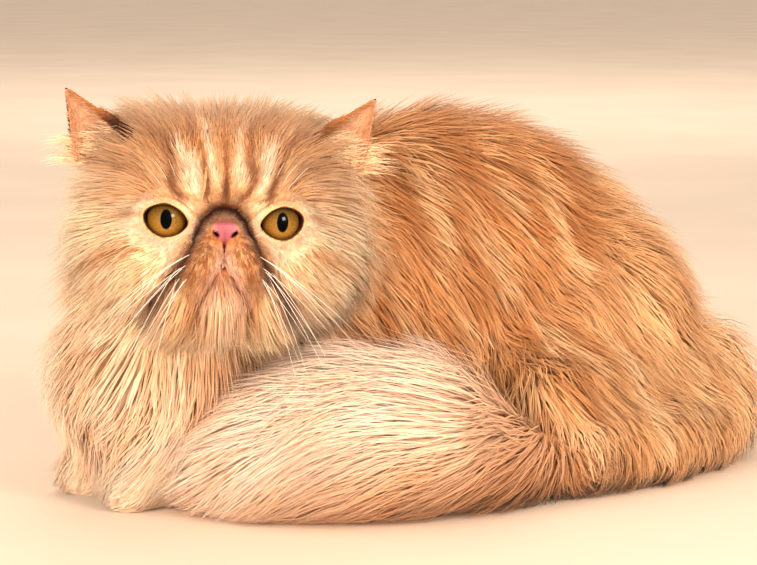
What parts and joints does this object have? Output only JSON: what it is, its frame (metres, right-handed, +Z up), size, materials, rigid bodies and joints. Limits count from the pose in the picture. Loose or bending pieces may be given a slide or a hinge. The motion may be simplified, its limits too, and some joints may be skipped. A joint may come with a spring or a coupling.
{
  "type": "persian cat model",
  "caption": "Still life-size long-haired cat crouched at rest, its flat face turned to its left and its bushy tail curled round that side.",
  "frame": {"origin": "point on the floor under the middle of the torso, on the flat of the belly", "axes": "+Z up, +X along the spine towards the rump, -X towards the chest, -Y towards the cat's left side, where the head is turned and the tail is curled"},
  "size_m": [0.4603, 0.2982, 0.2381],
  "materials": {
    "red_fur": "long soft red tabby coat",
    "cream_fur": "long soft cream coat",
    "face_fur": "short red and cream tabby fur",
    "ear": "thin skin under fine fur",
    "eye": "wet copper iris under a clear cornea"
  },
  "bodies": {
    "root": {"eye_left": "eye", "eye_right": "eye", "ear_left": "ear", "ear_right": "ear", "head": "face_fur", "neck": "cream_fur", "torso": "red_fur", "foreleg_left": "cream_fur", "foreleg_right": "cream_fur", "hindleg_left": "red_fur", "hindleg_right": "red_fur", "tail_base": "red_fur", "tail_middle": "red_fur", "tail_plume": "cream_fur"}
  },
  "joints": []
}
